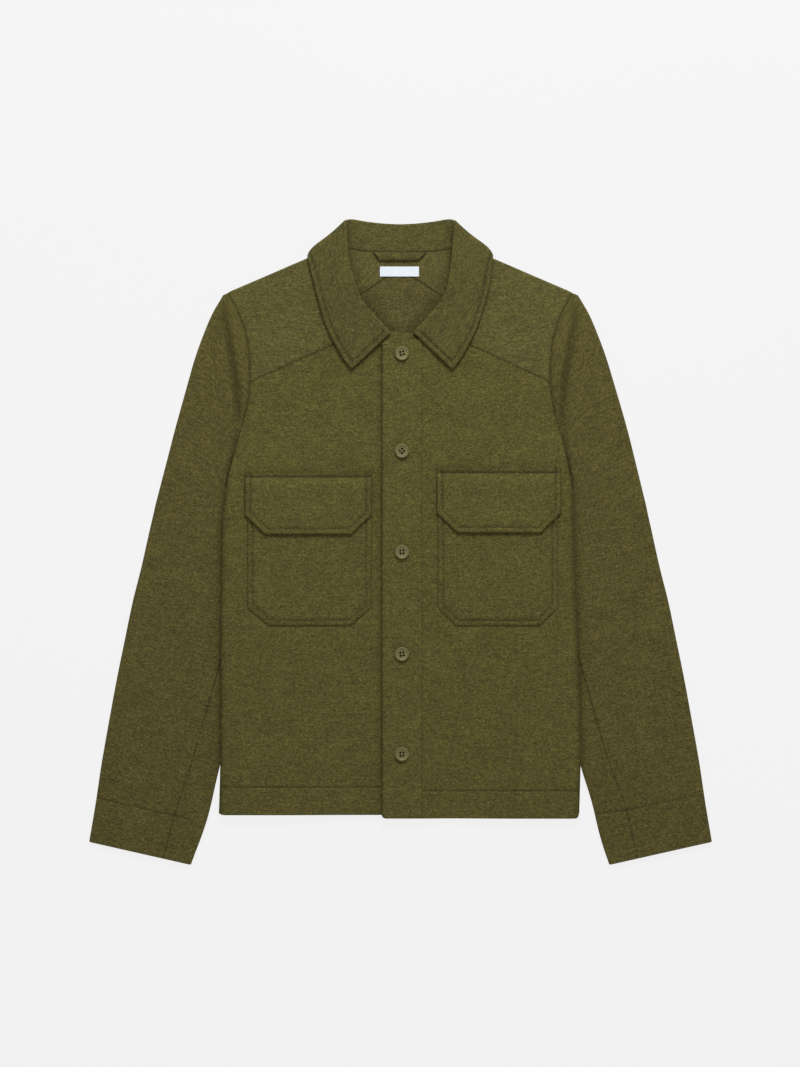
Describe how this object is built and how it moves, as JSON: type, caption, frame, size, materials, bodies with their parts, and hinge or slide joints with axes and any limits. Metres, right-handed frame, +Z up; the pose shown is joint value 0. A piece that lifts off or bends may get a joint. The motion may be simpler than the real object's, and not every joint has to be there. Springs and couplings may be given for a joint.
{
  "type": "wool overshirt laid flat",
  "caption": "Buttoned overshirt of felted wool, lying face up and flat, with a turned-down collar, shoulder yoke, flapped chest pockets and two-piece sleeves.",
  "frame": {"origin": "centre of the garment's bounding box on the surface that it lies on", "axes": "+X towards the wearer's left sleeve, +Y from hem to collar, +Z up from the surface to the front of the garment"},
  "size_m": [0.759, 0.7865, 0.0164],
  "materials": {
    "wool": "felted olive melton wool with light and dark flecks",
    "button": "satin khaki with a raised rim",
    "label": "smooth woven white, bare"
  },
  "bodies": {
    "root": {"back": "wool", "front_right": "wool", "front_left": "wool", "placket": "wool", "yoke": "wool", "sleeve_top_right": "wool", "sleeve_under_right": "wool", "sleeve_top_left": "wool", "sleeve_under_left": "wool", "collar": "wool", "pocket_right": "wool", "flap_right": "wool", "pocket_left": "wool", "flap_left": "wool", "button_1": "button", "button_2": "button", "button_3": "button", "button_4": "button", "button_5": "button", "hanger_loop": "wool", "label": "label"}
  },
  "joints": []
}
